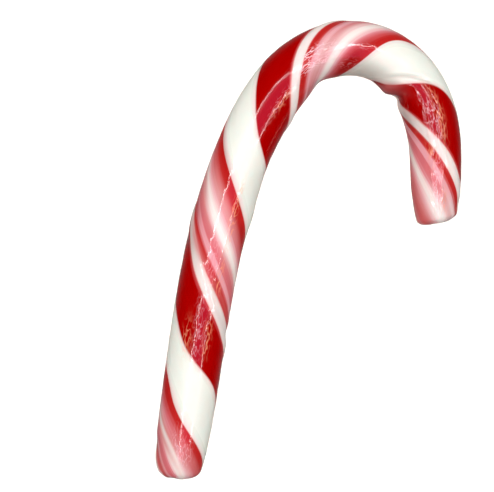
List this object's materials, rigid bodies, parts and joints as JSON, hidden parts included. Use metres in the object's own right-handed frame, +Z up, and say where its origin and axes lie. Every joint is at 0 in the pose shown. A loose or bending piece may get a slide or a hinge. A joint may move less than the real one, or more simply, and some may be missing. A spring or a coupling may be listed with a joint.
{
  "type": "candy cane",
  "caption": "Candy cane of twisted pulled sugar with red, pink and white stripes, bent into a crook and lying on its side.",
  "frame": {"origin": "on the surface that the cane lies on, under the middle of its outline", "axes": "+Y along the stick towards the crook, +X towards the crook's tip, +Z up, away from the surface"},
  "size_m": [0.0744, 0.1338, 0.0157],
  "materials": {
    "sugar": "glossy"
  },
  "bodies": {
    "root": {"cane": "sugar"}
  },
  "joints": []
}
